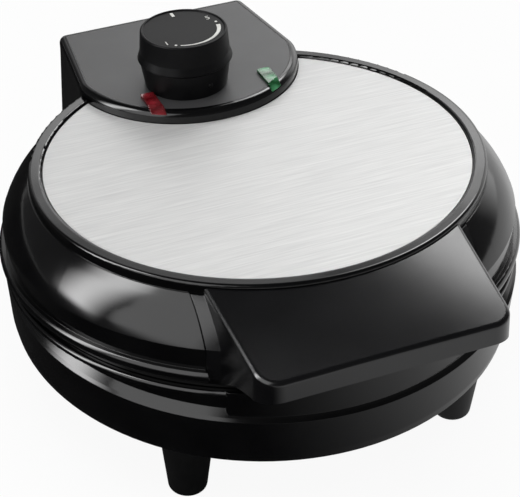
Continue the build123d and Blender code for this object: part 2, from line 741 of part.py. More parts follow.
def house_walls(inset):
    """The housing below its panel, leaning out towards its lower edge."""
    low = Pos(0, 0, LIP_Z) * offset(house_outline(), HOUSE_FLARE - inset)
    high = house_outline()
    if inset:
        high = offset(high, -inset)
    return loft([low, Pos(0, 0, FLOOR_Z) * high], ruled=True)


def hinge_in_lid():
    """Hinge axis in the lid's own frame."""
    lean = radians(LID_TILT)
    depth = HINGE_Y - LID_AXIS_Y
    height = HINGE_Z - PART_HEIGHT
    return depth * cos(lean) - height * sin(lean), depth * sin(lean) + height * cos(lean)


def lid_form():
    """Outer form of the lid without its rear housing."""
    lower = Polyline((0, LID_GAP), (LID_FOOT_R, LID_GAP), (LID_FOOT_R, LIP_Z), (LID_LIP_R - BULGE, LIP_Z))
    lip_mid = (LID_LIP_R, (LIP_Z + LIP_TOP_Z) / 2)
    lip = ThreePointArc((LID_LIP_R - BULGE, LIP_Z), lip_mid, (LID_LIP_R - BULGE, LIP_TOP_Z))
    skirt = Polyline((LID_LIP_R - BULGE, LIP_TOP_Z), (SKIRT_LOW_R, LIP_TOP_Z), (SHOULDER_R, SHOULDER_Z))
    outer_edge = JernArc((RIM_R, RIM_TOP_Z - RIM_ROUND), (0, 1), RIM_ROUND, 90)
    inner_edge = JernArc((RIM_IN_R + RIM_ROUND, RIM_TOP_Z), (-1, 0), RIM_ROUND, 90)
    rim = (
        Polyline((CONE_TOP_R, CONE_TOP_Z), (RIM_R, CONE_TOP_Z), (RIM_R, RIM_TOP_Z - RIM_ROUND))
        + outer_edge
        + Line(outer_edge @ 1, inner_edge @ 0)
        + inner_edge
        + Polyline(inner_edge @ 1, (RIM_IN_R, FLOOR_Z), (0, FLOOR_Z), (0, LID_GAP))
    )
    return spun(lower + lip + skirt + cone_path(0) + rim)


def lid_hollow():
    """Space inside the lid."""
    outline = Polyline(
        (0, 0),
        (LID_FOOT_R - LID_WALL, 0),
        (LID_FOOT_R - LID_WALL, SHOULDER_Z),
        (CONE_TOP_R - LID_WALL - ROOT_DEPTH, FLOOR_Z - ROOF_T),
        (0, FLOOR_Z - ROOF_T),
        close=True,
    )
    return spun(outline)


def handle_pocket(outer, margin, inset):
    """Shallow band of the lid's wall in which the root of the handle lies."""
    half = ROOT_HALF_W - margin
    zone = block(-half, half, -BIG, 0, LIP_Z + margin, CONE_TOP_Z - margin)
    return (outer & zone) - cone_form(inset)


def make_lid_shell():
    """Skirt, cone wall, rim, roof and the walls of the rear housing."""
    hollow = lid_hollow()
    shell = lid_form() - hollow
    shelf = ring(SHELF_IN_R, LID_FOOT_R - LID_WALL / 2, SHELF_Z, SHELF_Z + SHELF_T)
    walls = house_walls(0) - house_walls(HOUSE_WALL) - hollow
    shell = shell + shelf + walls
    shell -= house_prism(FIT_LOOSE, FLOOR_Z, BIG)
    shell -= house_prism(-ROOF_LEDGE, FLOOR_Z - ROOF_T, BIG)
    shell -= handle_pocket(disc(BIG, 0, BIG), 0, ROOT_DEPTH)
    hinge_y, hinge_z = hinge_in_lid()
    inner_x = EAR_IN_X + EAR_T + FIT_LOOSE
    cheek = block(inner_x, HOUSE_REAR_W, hinge_y - EAR_R, hinge_y + EAR_R, LIP_Z, hinge_z + EAR_R)
    cheek = (cheek & house_prism(0, 0, BIG)) - lid_form()
    bore_end = HOUSE_REAR_W - PIN_SKIN
    bore = Pos(0, hinge_y, hinge_z) * Rot(0, 90, 0) * disc(PIN_R + FIT_RUNNING, -bore_end, bore_end)
    shell = shell + cheek + mirror(cheek, Plane.YZ) - bore
    for x, y in panel_screw_places():
        shell -= Pos(x, y, 0) * disc(SCREW_HOLE_R, FLOOR_Z - 2 * ROOF_T, BIG)
    for x in (-HANDLE_BOSS_X, HANDLE_BOSS_X):
        along = Pos(x, 0, HANDLE_BOSS_Z) * Rot(90, 0, 0)
        pad = along * disc(HANDLE_BOSS_R, HANDLE_SEAT_Y, BIG) & cone_form(ROOT_DEPTH)
        shell = shell + pad - along * disc(SCREW_HOLE_R, 0, BIG)
    return shell


def make_top_disc():
    """Brushed metal disc, cut back round the control panel."""
    return disc(DISC_R, FLOOR_Z, FLOOR_Z + DISC_T) - house_prism(DISC_GAP, 0, BIG)


def panel_screw_places():
    """Where the control panel is screwed to the roof."""
    return [(side * x, HOUSE_ARC_Y - forward) for side in (-1, 1) for x, forward in PANEL_SCREWS]


def panel_form(grow):
    """Outer form of the control panel with its rounded edge."""
    body = house_prism(grow, FLOOR_Z, PANEL_Z + grow)
    return fillet(body.faces().sort_by(Axis.Z)[-1].edges(), PANEL_ROUND)


def lens_stem(margin):
    """Stem of one lens, or with a margin the slot for it."""
    half_w = LENS_STEM_W / 2 + margin
    half_l = LENS_STEM_L / 2 + margin
    low = PANEL_Z - LENS_STEM_H
    return block(-half_w, half_w, LENS_STEM_Y - half_l, LENS_STEM_Y + half_l, low, PANEL_Z + LENS_OUT / 2)


def make_control_panel():
    """Glossy top of the rear housing, with a recess for its satin plate."""
    panel = panel_form(0) - house_prism(-HOUSE_WALL, 0, PANEL_Z - PANEL_T)
    for x, y in panel_screw_places():
        boss = disc(PANEL_BOSS_R, FLOOR_Z, PANEL_Z - PANEL_T)
        hole = disc(SCREW_R + FIT_INLAY, 0, FLOOR_Z - ROOF_T + PANEL_SCREW_L + SCREW_ROOM)
        panel = panel + Pos(x, y, 0) * boss - Pos(x, y, 0) * hole
    panel -= house_prism(-PANEL_ROUND - FASCIA_EDGE, PANEL_Z - FASCIA_T, BIG)
    panel -= Pos(KNOB_X, KNOB_Y, 0) * disc(HUB_R, 0, BIG)
    for side in (-1, 1):
        panel -= Pos(side * LENS_X, 0, 0) * lens_stem(FIT_INLAY)
    return panel


def make_fascia():
    """Satin plate set flush into the control panel."""
    fascia = house_prism(-PANEL_ROUND - FASCIA_EDGE - FIT_INLAY, PANEL_Z - FASCIA_T, PANEL_Z)
    fascia -= Pos(KNOB_X, KNOB_Y, 0) * disc(HUB_R, 0, BIG)
    for side in (-1, 1):
        fascia -= Pos(side * LENS_X, 0, 0) * lens_stem(FIT_INLAY)
    return fascia


def make_panel_screws():
    """Screws from inside the lid into the control panel."""
    seat = FLOOR_Z - ROOF_T
    return joined(Pos(x, y, seat) * screw(PANEL_SCREW_L) for x, y in panel_screw_places())


def make_lens(side):
    """Pilot lens: a wedge on the panel with a nose over its round front edge."""
    top = PANEL_Z + LENS_OUT
    foot = PANEL_Z - LENS_DROP
    outline = Polyline(
        (LENS_REAR_Y, PANEL_Z),
        (LENS_REAR_Y - LENS_OUT, top),
        (LENS_FRONT_Y, top),
        (LENS_FRONT_Y, foot),
        (LENS_REAR_Y, foot),
        close=True,
    )
    head = Pos(-LENS_W / 2, 0, 0) * extrude(make_face(Plane.YZ * outline), LENS_W)
    length = LENS_REAR_Y - LENS_FRONT_Y
    plan = Pos(0, LENS_REAR_Y - length / 2) * Rectangle(LENS_W, length)
    head &= extrude(fillet(plan.vertices().sort_by(Axis.Y)[-2:], LENS_ROUND), BIG)
    place = Pos(side * LENS_X, 0, 0)
    nose = Cone(HOUSE_ARC_R, HOUSE_ARC_R - LENS_NOSE_L, top - foot)
    head = place * head & Pos(0, HOUSE_ARC_Y, (top + foot) / 2) * nose
    return head - panel_form(FIT_INLAY / 2) + place * lens_stem(0)


def make_lamps():
    """Glow lamp under each lens."""
    top = PANEL_Z - LENS_STEM_H - FIT_LOOSE
    lamp = Rot(90, 0, 0) * disc(LAMP_R, -LAMP_L / 2, LAMP_L / 2)
    lamp = fillet(lamp.edges().sort_by(Axis.Y)[0], LAMP_ROUND)
    return joined(Pos(side * LENS_X, LENS_STEM_Y + LAMP_BACK, top - LAMP_R) * lamp for side in (-1, 1))


# Handle


def handle_slope():
    """Solid below the handle's top, which runs from the round rim to its straight front edge."""
    reach = -HANDLE_FRONT_Y
    fall = (HANDLE_REAR_Z - HANDLE_FRONT_Z) / (reach - RIM_R)
    rear_r = RIM_R - SLOPE_SPARE
    rear_z = HANDLE_REAR_Z + SLOPE_SPARE * fall
    half = degrees(asin((HANDLE_REAR_W + SLOPE_SPARE) / RIM_R))
    side_x, side_y = polar(rear_r, half - 90)
    rear = ThreePointArc((-side_x, side_y, rear_z), (0, -rear_r, rear_z), (side_x, side_y, rear_z))
    front_w = HANDLE_FRONT_W + SLOPE_SPARE
    front_y = HANDLE_FRONT_Y - SLOPE_SPARE
    front_z = HANDLE_FRONT_Z - SLOPE_SPARE * fall
    front = Line((-front_w, front_y, front_z), (front_w, front_y, front_z))
    top = Face.make_surface_from_curves(rear.edges()[0], front.edges()[0])
    return extrude(top, TALL, dir=(0, 0, -1))


def handle_plan(inset):
    """Plan of the handle: sides that close in towards a front edge with round corners."""
    reach = -HANDLE_FRONT_Y
    rear_y = sqrt(RIM_R ** 2 - HANDLE_REAR_W ** 2)
    narrow = (HANDLE_REAR_W - HANDLE_FRONT_W) / (reach - rear_y)
    inner_w = HANDLE_REAR_W + narrow * rear_y
    plan = make_face(
        Polyline(
            (-inner_w + inset, 0),
            (-HANDLE_FRONT_W + inset, -reach + inset),
            (HANDLE_FRONT_W - inset, -reach + inset),
            (inner_w - inset, 0),
            close=True,
        )
    )
    return fillet(plan.vertices().sort_by(Axis.Y)[:2], HANDLE_CORNER - inset)


def handle_under():
    """Everything below the swept lower edge of the handle's webs."""
    front_low = HANDLE_FRONT_Z - HANDLE_BAND
    low = PLATE_GAP + WEB_LIFT
    bend = ThreePointArc((WEB_ROOT_Y, low), (WEB_MID_Y, WEB_MID_Z), (WEB_END_Y, WEB_END_Z))
    outline = bend + Polyline(
        (WEB_END_Y, WEB_END_Z),
        (HANDLE_FRONT_Y, front_low),
        (-BIG, front_low),
        (-BIG, -BIG),
        (0, -BIG),
        (0, low),
        (WEB_ROOT_Y, low),
    )
    return Pos(-BIG / 2, 0, 0) * extrude(make_face(Plane.YZ * outline), BIG)


def make_handle():
    """Hollow handle with its root flange and two screw bosses."""
    slope = handle_slope()
    body = slope & extrude(handle_plan(0), TALL)
    top = body.faces().sort_by(Axis.Z)[-1]
    front = [e for e in top.edges() if e.center().Y < -RIM_R]
    body = fillet(front, HANDLE_EDGE)
    room = (Pos(0, 0, -HANDLE_WALL) * slope) & extrude(handle_plan(HANDLE_WALL), TALL)
    core = cone_form(ROOT_DEPTH - FIT_INLAY)
    rim_space = disc(RIM_R + FIT_LOOSE, CONE_TOP_Z - FIT_LOOSE, BIG)
    foot_space = disc(LID_FOOT_R + FIT_LOOSE, -BIG, LIP_Z)
    root = handle_pocket(cone_form(FIT_INLAY), FIT_LOOSE, ROOT_DEPTH - FIT_INLAY)
    handle = body - room - handle_under() + root
    for x in (-HANDLE_BOSS_X, HANDLE_BOSS_X):
        along = Pos(x, 0, HANDLE_BOSS_Z) * Rot(90, 0, 0)
        boss = along * disc(HANDLE_BOSS_R, 0, HANDLE_SEAT_Y + HANDLE_BOSS_L)
        handle += boss
    handle = handle - core - rim_space - foot_space
    for x in (-HANDLE_BOSS_X, HANDLE_BOSS_X):
        along = Pos(x, 0, HANDLE_BOSS_Z) * Rot(90, 0, 0)
        handle -= along * disc(SCREW_R + FIT_INLAY, 0, HANDLE_SEAT_Y + HANDLE_SCREW_L + SCREW_ROOM)
    return handle


def make_handle_screws():
    """Screws from inside the lid into the handle."""
    turned = Rot(90, 0, 0) * Pos(0, 0, HANDLE_SEAT_Y) * screw(HANDLE_SCREW_L)
    return joined(Pos(x, 0, HANDLE_BOSS_Z) * turned for x in (-HANDLE_BOSS_X, HANDLE_BOSS_X))


# Knob and thermostat, drawn about the knob's axis with Z from the parting plane


def make_collar():
    """Fixed collar under the knob, with its index bead."""
    height = KNOB_RIDGE_Z - KNOB_GAP
    outline = Polyline(
        (COLLAR_BASE_R - COLLAR_WALL, 0),
        (COLLAR_BASE_R, 0),
        (COLLAR_TOP_R, height),
        (COLLAR_TOP_R - COLLAR_WALL, height),
        close=True,
    )
    x, y = polar((COLLAR_BASE_R + COLLAR_TOP_R) / 2, INDEX_ANGLE)
    bead = Pos(x, y, height / 2) * Sphere(INDEX_R)
    return Pos(0, 0, PANEL_Z) * (spun(outline) + bead)


def make_knob():
    """Hollow knob with a ridge round its lower edge and a hub for the shaft."""
    dish = KNOB_H - KNOB_DISH
    ceiling = dish - KNOB_WALL
    outline = Polyline(
        (SHAFT_R + FIT_RUNNING, KNOB_RIDGE_Z),
        (HUB_R - FIT_LOOSE, KNOB_RIDGE_Z),
        (HUB_R - FIT_LOOSE, ceiling),
        (KNOB_TOP_R - KNOB_WALL, ceiling),
        (KNOB_BODY_R - KNOB_WALL, KNOB_RIDGE_Z),
        (KNOB_RIDGE_R - KNOB_DISH, KNOB_RIDGE_Z),
        (KNOB_RIDGE_R, KNOB_RIDGE_Z + KNOB_DISH),
        (KNOB_BODY_R, KNOB_RIDGE_Z + KNOB_RIDGE_H),
        (KNOB_TOP_R, KNOB_H - KNOB_DISH),
        (KNOB_TOP_R - KNOB_DISH, KNOB_H),
        (KNOB_TOP_R - 2 * KNOB_DISH, KNOB_H),
        (KNOB_TOP_R - 3 * KNOB_DISH, dish),
        (0, dish),
        (0, ceiling),
        (SHAFT_R + FIT_RUNNING, ceiling),
        close=True,
    )
    return Pos(0, 0, PANEL_Z) * spun(outline)


def thermostat_z():
    """Where the thermostat's underside lies."""
    return shield_z(UPPER_DEPTH) + SHIELD_T + BRACKET_T


def make_shaft():
    """Thermostat shaft that carries the knob."""
    low = thermostat_z() + THERMOSTAT_H - SHAFT_IN
    top = PANEL_Z + KNOB_H - KNOB_DISH - KNOB_WALL - FIT_LOOSE
    return disc(SHAFT_R, low, top)


def make_dial_marks():
    """Printed scale on the knob: a widening arc, a dot at each end and a short dash."""
    outer = []
    inner = []
    for step in range(ARC_STEPS + 1):
        share = step / ARC_STEPS
        angle = ARC_START + share * (ARC_END - ARC_START)
        half = (ARC_W_THIN + share * (ARC_W_THICK - ARC_W_THIN)) / 2
        outer.append(polar(ARC_R + half, angle))
        inner.append(polar(ARC_R - half, angle))
    arc = make_face(Polyline(*outer, *reversed(inner), close=True))
    dash_x, dash_y = polar(DASH_R, DASH_ANGLE)
    dash = Pos(dash_x, dash_y) * Rot(0, 0, DASH_ANGLE) * Rectangle(DASH_L, DASH_W)
    dots = [Pos(*polar(ARC_R, angle)) * Circle(DOT_R) for angle in (DOT_MIN_ANGLE, DOT_MAX_ANGLE)]
    level = PANEL_Z + KNOB_H - KNOB_DISH
    return joined(Pos(0, 0, level) * extrude(mark, INK_T) for mark in [arc, dash, *dots])


def make_thermostat():
    """Thermostat body with the bore for its shaft."""
    low = thermostat_z()
    top = low + THERMOSTAT_H
    half_l = THERMOSTAT_L / 2
    half_w = THERMOSTAT_W / 2
    body = block(-half_l, half_l, -half_w, half_w, low, top)
    return body - disc(SHAFT_R + FIT_RUNNING, top - SHAFT_IN, BIG)


def make_bracket():
    """Folded strip that holds the thermostat on the heat shield."""
    low = shield_z(UPPER_DEPTH) + SHIELD_T
    half_l = THERMOSTAT_L / 2
    half_w = THERMOSTAT_W / 2
    outer = half_l + FIT_INLAY + BRACKET_T
    base = block(-outer, outer, -half_w, half_w, low, low + BRACKET_T)
    tabs = block(half_l + FIT_INLAY, outer, -half_w, half_w, low, low + BRACKET_H)
    return base + tabs + mirror(tabs, Plane.YZ)


def at_knob(shape):
    """Place a piece drawn about the knob's axis in the lid."""
    return LID_FRAME * Pos(KNOB_X, KNOB_Y, 0) * shape


parts = {
    "base_shell": make_base_shell(),
    "bottom_cover": make_bottom_cover(),
    "foot_pads": make_feet(),
    "bottom_cover_screws": make_cover_screws(),
    "cord_gland": make_gland(),
    "terminal_block": make_terminal_block(),
    "hinge_pins": make_hinge_pins(),
    "lower_plate": below(make_plate(LOWER_DEPTH, RIDGE_H_LOWER)),
    "lower_heater": below(make_heater(LOWER_DEPTH)),
    "lower_heat_shield": below(make_shield(LOWER_DEPTH)),
    "lower_plate_screws": below(make_plate_screws(LOWER_DEPTH)),
    "lid_shell": LID_FRAME * make_lid_shell(),
    "top_disc": LID_FRAME * make_top_disc(),
    "control_panel": LID_FRAME * make_control_panel(),
    "panel_fascia": LID_FRAME * make_fascia(),
    "panel_screws": LID_FRAME * make_panel_screws(),
    "power_lens": LID_FRAME * make_lens(-1),
    "ready_lens": LID_FRAME * make_lens(1),
    "pilot_lamps": LID_FRAME * make_lamps(),
    "handle": LID_FRAME * make_handle(),
    "handle_screws": LID_FRAME * make_handle_screws(),
    "upper_plate": LID_FRAME * make_plate(UPPER_DEPTH, RIDGE_H_UPPER),
    "upper_heater": LID_FRAME * make_heater(UPPER_DEPTH),
    "upper_heat_shield": LID_FRAME * make_shield(UPPER_DEPTH),
    "upper_plate_screws": LID_FRAME * make_plate_screws(UPPER_DEPTH),
    "knob_collar": at_knob(make_collar()),
    "thermostat": at_knob(make_thermostat()),
    "thermostat_bracket": at_knob(make_bracket()),
    "knob": at_knob(make_knob()),
    "thermostat_shaft": at_knob(make_shaft()),
    "dial_marks": at_knob(make_dial_marks()),
}

os.makedirs("parts", exist_ok=True)
for name, shape in parts.items():
    export_step(TO_ORIGIN * shape, f"parts/{name}.step")
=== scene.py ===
# %% [markdown]
# # Dressing a heart waffle iron
# The solids come ready made: a round housing in two halves, a hinged lid, two
# cast plates with heart moulds, a handle, a knob and two pilot lights. This
# lesson gives each of them the surface that the real one has, adds the printed
# numbers, which are too fine for solids, and sets up the studio. All lengths
# are metres, in the same frame as the solids.

import json
import math

import bpy
from mathutils import Matrix, Vector


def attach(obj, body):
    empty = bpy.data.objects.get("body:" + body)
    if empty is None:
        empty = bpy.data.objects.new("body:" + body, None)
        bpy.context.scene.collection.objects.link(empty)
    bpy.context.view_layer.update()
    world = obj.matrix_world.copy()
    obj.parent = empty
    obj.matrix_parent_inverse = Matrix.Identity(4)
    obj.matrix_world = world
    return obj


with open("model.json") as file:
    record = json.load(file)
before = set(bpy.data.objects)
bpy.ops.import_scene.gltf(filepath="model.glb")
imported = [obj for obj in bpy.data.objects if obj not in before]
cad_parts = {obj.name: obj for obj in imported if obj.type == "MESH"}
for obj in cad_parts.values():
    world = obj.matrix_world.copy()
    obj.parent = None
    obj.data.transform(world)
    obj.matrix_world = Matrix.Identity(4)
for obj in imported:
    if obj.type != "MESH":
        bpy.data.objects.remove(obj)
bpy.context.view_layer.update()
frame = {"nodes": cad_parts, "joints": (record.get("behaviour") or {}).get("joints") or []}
nodes = frame["nodes"]

# %% [markdown]
# ## Units and colours
# Nearly every texture below is sized from something real, such as the length
# of a scratch, so a millimetre is the unit to think in. Colours are read off
# as sRGB hex codes. Blender mixes light in linear numbers, so one function
# turns the one into the other.

# %% Units and colours
MM = 0.001
WHITE = (1, 1, 1, 1)


def linear(code):
    """An sRGB hex code as linear red, green, blue and alpha."""
    srgb = [int(code[i:i + 2], 16) / 255 for i in (1, 3, 5)]
    light = [c / 12.92 if c <= 0.04045 else ((c + 0.055) / 1.055) ** 2.4 for c in srgb]
    return (*light, 1.0)


def per_mm(size):
    """Texture scale that makes one feature as wide as size, in millimetres."""
    return 1 / (size * MM)


print("mid grey in linear light:", round(linear("#808080")[0], 3))

# %% [markdown]
# ## A node at a time
# A finish is a small graph of nodes. One function adds a node, sets it up and
# plugs in what feeds it: a socket given as a value becomes a link, and a plain
# number stays a setting. It can also fill in the main shader, which each new
# material already has.

# %% Node helper
def plug(material, node, values):
    """Set or link a node's inputs."""
    for name, value in values.items():
        if isinstance(value, bpy.types.NodeSocket):
            material.node_tree.links.new(value, node.inputs[name])
        else:
            node.inputs[name].default_value = value


def add(material, kind, values=None, **settings):
    """Add one node with its settings and links."""
    node = material.node_tree.nodes.new("ShaderNode" + kind)
    for name, value in settings.items():
        setattr(node, name, value)
    plug(material, node, values or {})
    return node


def start(name, **values):
    """New material whose main shader has these values."""
    material = bpy.data.materials.new(name)
    material.use_nodes = True
    shader = material.node_tree.nodes["Principled BSDF"]
    plug(material, shader, {key.replace("_", " "): value for key, value in values.items()})
    return material, shader


def show(material, closure):
    """Make one shader's result the surface of a material."""
    plug(material, material.node_tree.nodes["Material Output"], {"Surface": closure})


def calc(material, operation, *values):
    """Number that a Math node works out from one or two others."""
    node = add(material, "Math", dict(enumerate(values)), operation=operation)
    return node.outputs["Value"]


def ramp(material, factor, stops):
    """Colour ramp from a table of places and hex codes."""
    node = add(material, "ValToRGB", {"Fac": factor})
    elements = node.color_ramp.elements
    for index, (place, code) in enumerate(stops.items()):
        stop = elements[index] if index < len(elements) else elements.new(place)
        stop.position = place
        stop.color = linear(code)
    return node.outputs["Color"]


def level(material, factor, low, high):
    """Spread a 0 to 1 texture over a range of numbers."""
    node = add(material, "MapRange", {"Value": factor, "To Min": low, "To Max": high})
    return node.outputs["Result"]


def fade(material, value, low, high, at_low, at_high):
    """Smooth change from one number to another while a value goes from low to high."""
    values = {
        "Value": value, "From Min": low, "From Max": high, "To Min": at_low, "To Max": at_high,
    }
    return add(material, "MapRange", values, interpolation_type="SMOOTHSTEP").outputs["Result"]


def place_of(material, stretch=(1, 1, 1)):
    """Position on the piece, stretched before a texture reads it."""
    here = add(material, "TexCoord").outputs["Object"]
    return add(material, "Mapping", {"Vector": here, "Scale": stretch}).outputs["Vector"]


def grain(material, where, size, detail=2.0, roughness=0.5):
    """Noise whose blobs are about as wide as size, in millimetres."""
    values = {"Vector": where, "Scale": per_mm(size), "Detail": detail, "Roughness": roughness}
    return add(material, "TexNoise", values).outputs["Fac"]


def relief(material, height, depth, under=None):
    """Bump of a real depth in millimetres, laid over another surface."""
    values = {"Height": height, "Distance": depth * MM, "Strength": 1.0}
    if under is not None:
        values["Normal"] = under
    return add(material, "Bump", values).outputs["Normal"]


def soft_edge(material, radius):
    """The small radius that a mould leaves on every edge, in millimetres."""
    return add(material, "Bevel", {"Radius": radius * MM}, samples=6).outputs["Normal"]


print("node helpers are ready")

# %% [markdown]
# ## Glossy black plastic
# The housing, the panel and the handle are injection-moulded ABS, or a close
# cousin that stands more heat. A polished mould gives it a mirror-like skin,
# with three faults that the eye reads as plastic: long, shallow waves from the
# way it cooled, a slight change of gloss from place to place, and a tiny
# radius on each edge, which catches a thin line of light. Plain black with low
# roughness would look like glass, so all three are added. ABS has an index
# near 1.5. The handle keeps it, and the housing is a little below it.

# %% Glossy black plastic
DUST = 0.05    # how much the fine specks add to the roughness


def moulded_abs(name, colour, gloss, wave, depth, ior=1.44):
    """Polished moulding: cooling waves, uneven gloss and soft edges."""
    material, shader = start(name, IOR=ior)
    where = place_of(material)
    clouds = grain(material, where, size=22, detail=3)
    specks = grain(material, where, size=1.6, detail=4, roughness=0.7)
    waves = grain(material, where, size=wave, detail=1)
    dust = calc(material, "MULTIPLY", specks, DUST)
    plug(material, shader, {
        "Base Color": ramp(material, clouds, {0.35: colour[0], 0.7: colour[1]}),
        "Roughness": calc(material, "ADD", level(material, clouds, *gloss), dust),
        "Normal": relief(material, waves, depth, under=soft_edge(material, radius=0.35)),
    })
    return material


housing_abs = moulded_abs(
    "housing_polished_abs", colour=("#050506", "#0a0a0b"), gloss=(0.07, 0.13), wave=26, depth=0.10)
panel_abs = moulded_abs(
    "panel_polished_abs", colour=("#060607", "#0b0b0c"), gloss=(0.08, 0.14), wave=20, depth=0.06)
handle_abs = moulded_abs(
    "handle_semi_gloss_abs", colour=("#08080a", "#0d0d0f"), gloss=(0.17, 0.22), wave=24, depth=0.05,
    ior=1.5)
print("black plastics:", housing_abs.name, panel_abs.name, handle_abs.name)

# %% [markdown]
# ## Satin black plastic
# The knob, its collar and the bottom cover come from a mould with a spark
# eroded, finely pitted skin. Pits about 0.2 mm wide scatter the light, so the
# black looks softer and a little greyer. At this distance the pits are under a
# pixel, so they are drawn about 0.4 mm wide, which still reads as a fine satin.
# The knob's index is set low, so that its face stays darker than the grey
# plate around it.

# %% Satin black plastic
def spark_eroded_abs(name, colour, rough, pit, depth, ior=1.46):
    """Finely pitted moulding."""
    material, shader = start(name, IOR=ior)
    where = place_of(material)
    pits = grain(material, where, size=pit, detail=3, roughness=0.6)
    clouds = grain(material, where, size=9, detail=3)
    plug(material, shader, {
        "Base Color": ramp(material, clouds, {0.3: colour[0], 0.75: colour[1]}),
        "Roughness": level(material, clouds, *rough),
        "Normal": relief(material, pits, depth, under=soft_edge(material, radius=0.3)),
    })
    return material


knob_abs = spark_eroded_abs(
    "knob_satin_abs", colour=("#0f0f10", "#151516"), rough=(0.30, 0.38), pit=0.35, depth=0.012,
    ior=1.17)
cover_abs = spark_eroded_abs(
    "cover_satin_abs", colour=("#0c0c0d", "#141415"), rough=(0.34, 0.46), pit=0.45, depth=0.02)
print("satin plastics:", knob_abs.name, cover_abs.name)

# %% [markdown]
# ## Satin grey panel plate
# A thin plate lies flush in the control panel. It looks a plain dark grey
# because its matt lacquer spreads the light of the backdrop over its whole
# face. The lacquer is a dark grey with a broad sheen, and a fine sandy grain.

# %% Satin grey panel plate
plate_lacquer, shader = start("panel_plate_matt_lacquer", IOR=1.5)
where = place_of(plate_lacquer)
sand = grain(plate_lacquer, where, size=0.4, detail=3, roughness=0.65)
clouds = grain(plate_lacquer, where, size=18)
plug(plate_lacquer, shader, {
    "Base Color": ramp(plate_lacquer, clouds, {0.3: "#3b3b3c", 0.75: "#424243"}),
    "Roughness": level(plate_lacquer, sand, low=0.38, high=0.46),
    "Normal": relief(plate_lacquer, sand, depth=0.01),
})
print("panel plate:", plate_lacquer.name)

# %% [markdown]
# ## Brushed metal disc
# The top disc is thin stainless steel, brushed in one direction with a fine
# belt and then lacquered, so it has no mirror image and hardly a bright side.
# Each scratch is a few hundredths of a millimetre wide and a centimetre or
# more long. Lines that fine vanish in the render, so two noises stretched
# along X stand in for them, at 0.3 and 0.8 mm across. The coarse one sets the
# tone, the fine one the roughness, and both the height. The lacquer scatters
# much of the light, which the low metallic share stands for.

# %% Brushed metal disc
brushed_steel, shader = start("disc_brushed_steel", Metallic=0.3)
FINE, COARSE = 0.3, 0.8
scratch_runs = {FINE: (0.006, 14), COARSE: (0.010, 26)}    # depth and length, in mm
normal = soft_edge(brushed_steel, radius=0.2)
scratches = {}
for width, (depth, run) in scratch_runs.items():
    where = place_of(brushed_steel, stretch=(width / run, 1, 1))
    scratches[width] = grain(brushed_steel, where, width)
    normal = relief(brushed_steel, scratches[width], depth, under=normal)
plug(brushed_steel, shader, {
    "Base Color": ramp(brushed_steel, scratches[COARSE], {0.25: "#c0c0c0", 0.75: "#d2d2d1"}),
    "Roughness": level(brushed_steel, scratches[FINE], low=0.5, high=0.6),
    "Normal": normal,
})
print("disc scratches, in mm:", sorted(scratches))

# %% [markdown]
# ## Non-stick plates
# The plates are die-cast aluminium, blasted with grit and sprayed with dark
# PTFE. Blasting leaves pits of about half a millimetre under the film, and the
# film itself has a waxy sheen with pale specks of filler.

# %% Non-stick plates
ptfe, shader = start("plates_ptfe_on_cast_aluminium", IOR=1.35)
where = place_of(ptfe)
pits = grain(ptfe, where, size=0.6, detail=3, roughness=0.6)
specks = add(ptfe, "TexVoronoi", {"Vector": where, "Scale": per_mm(1.4)}).outputs["Distance"]
plug(ptfe, shader, {
    "Base Color": ramp(ptfe, specks, {0.06: "#4b4a49", 0.12: "#1d1d1f", 0.9: "#242426"}),
    "Roughness": level(ptfe, pits, low=0.36, high=0.52),
    "Normal": relief(ptfe, pits, depth=0.03, under=soft_edge(ptfe, radius=0.5)),
})
print("plates:", ptfe.name)

# %% [markdown]
# ## Pilot lenses
# Each lens is clear coloured acrylic with prisms moulded underneath. Part of
# the light passes through it, and two crossed waves tint and bend it, which
# gives brighter and darker fields. They are 8.2 mm apart, so the fields are
# broader than real prisms, which are about 1 mm wide. A wave texture of
# scale 1 repeats every 2 pi / 20 of a metre, so its scale is worked out from
# that.

# %% Pilot lenses
PRISM = 8.168              # mm
WAVE = 2 * math.pi / 20    # m


def prism_acrylic(name, deep, light):
    """Clear coloured acrylic with moulded prisms."""
    material, shader = start(name, IOR=1.49, Roughness=0.14, Transmission_Weight=0.4)
    values = {"Vector": place_of(material), "Scale": per_mm(PRISM) * WAVE}
    waves = [
        add(material, "TexWave", values, bands_direction=axis, wave_profile="TRI").outputs["Fac"]
        for axis in "XY"
    ]
    crossed = calc(material, "MULTIPLY", *waves)
    plug(material, shader, {
        "Base Color": ramp(material, crossed, {0.05: deep, 0.8: light}),
        "Normal": relief(material, crossed, depth=0.08, under=soft_edge(material, radius=0.25)),
    })
    return material


red_acrylic = prism_acrylic("power_lens_red_acrylic", deep="#6a0a14", light="#a8303a")
green_acrylic = prism_acrylic("ready_lens_green_acrylic", deep="#14592c", light="#6cc08a")
print("lenses:", red_acrylic.name, green_acrylic.name)

# %% [markdown]
# ## Metals inside
# Heater tubes turn brown and grey with the heat. The heat shields are pressed
# aluminised steel with a faint rolling grain. Screws, pins and the bracket are
# zinc plated or turned steel with fine lines. One function makes them all: what
# differs is the colour, the grain and the sheen.

# %% Metals inside
SHEEN_SPREAD = 0.06    # how far the roughness strays either side of its middle


def lined_metal(name, dark, light, rough, line, run, depth):
    """Metal with fine lines of a given width, length and depth along X."""
    material, shader = start(name, Metallic=1.0)
    lines = grain(material, place_of(material, stretch=(line / run, 1, 1)), line)
    stains = grain(material, place_of(material), size=14, detail=4, roughness=0.6)
    plug(material, shader, {
        "Base Color": ramp(material, stains, {0.3: dark, 0.7: light}),
        "Roughness": level(material, lines, rough - SHEEN_SPREAD, rough + SHEEN_SPREAD),
        "Normal": relief(material, lines, depth, under=soft_edge(material, radius=0.15)),
    })
    return material


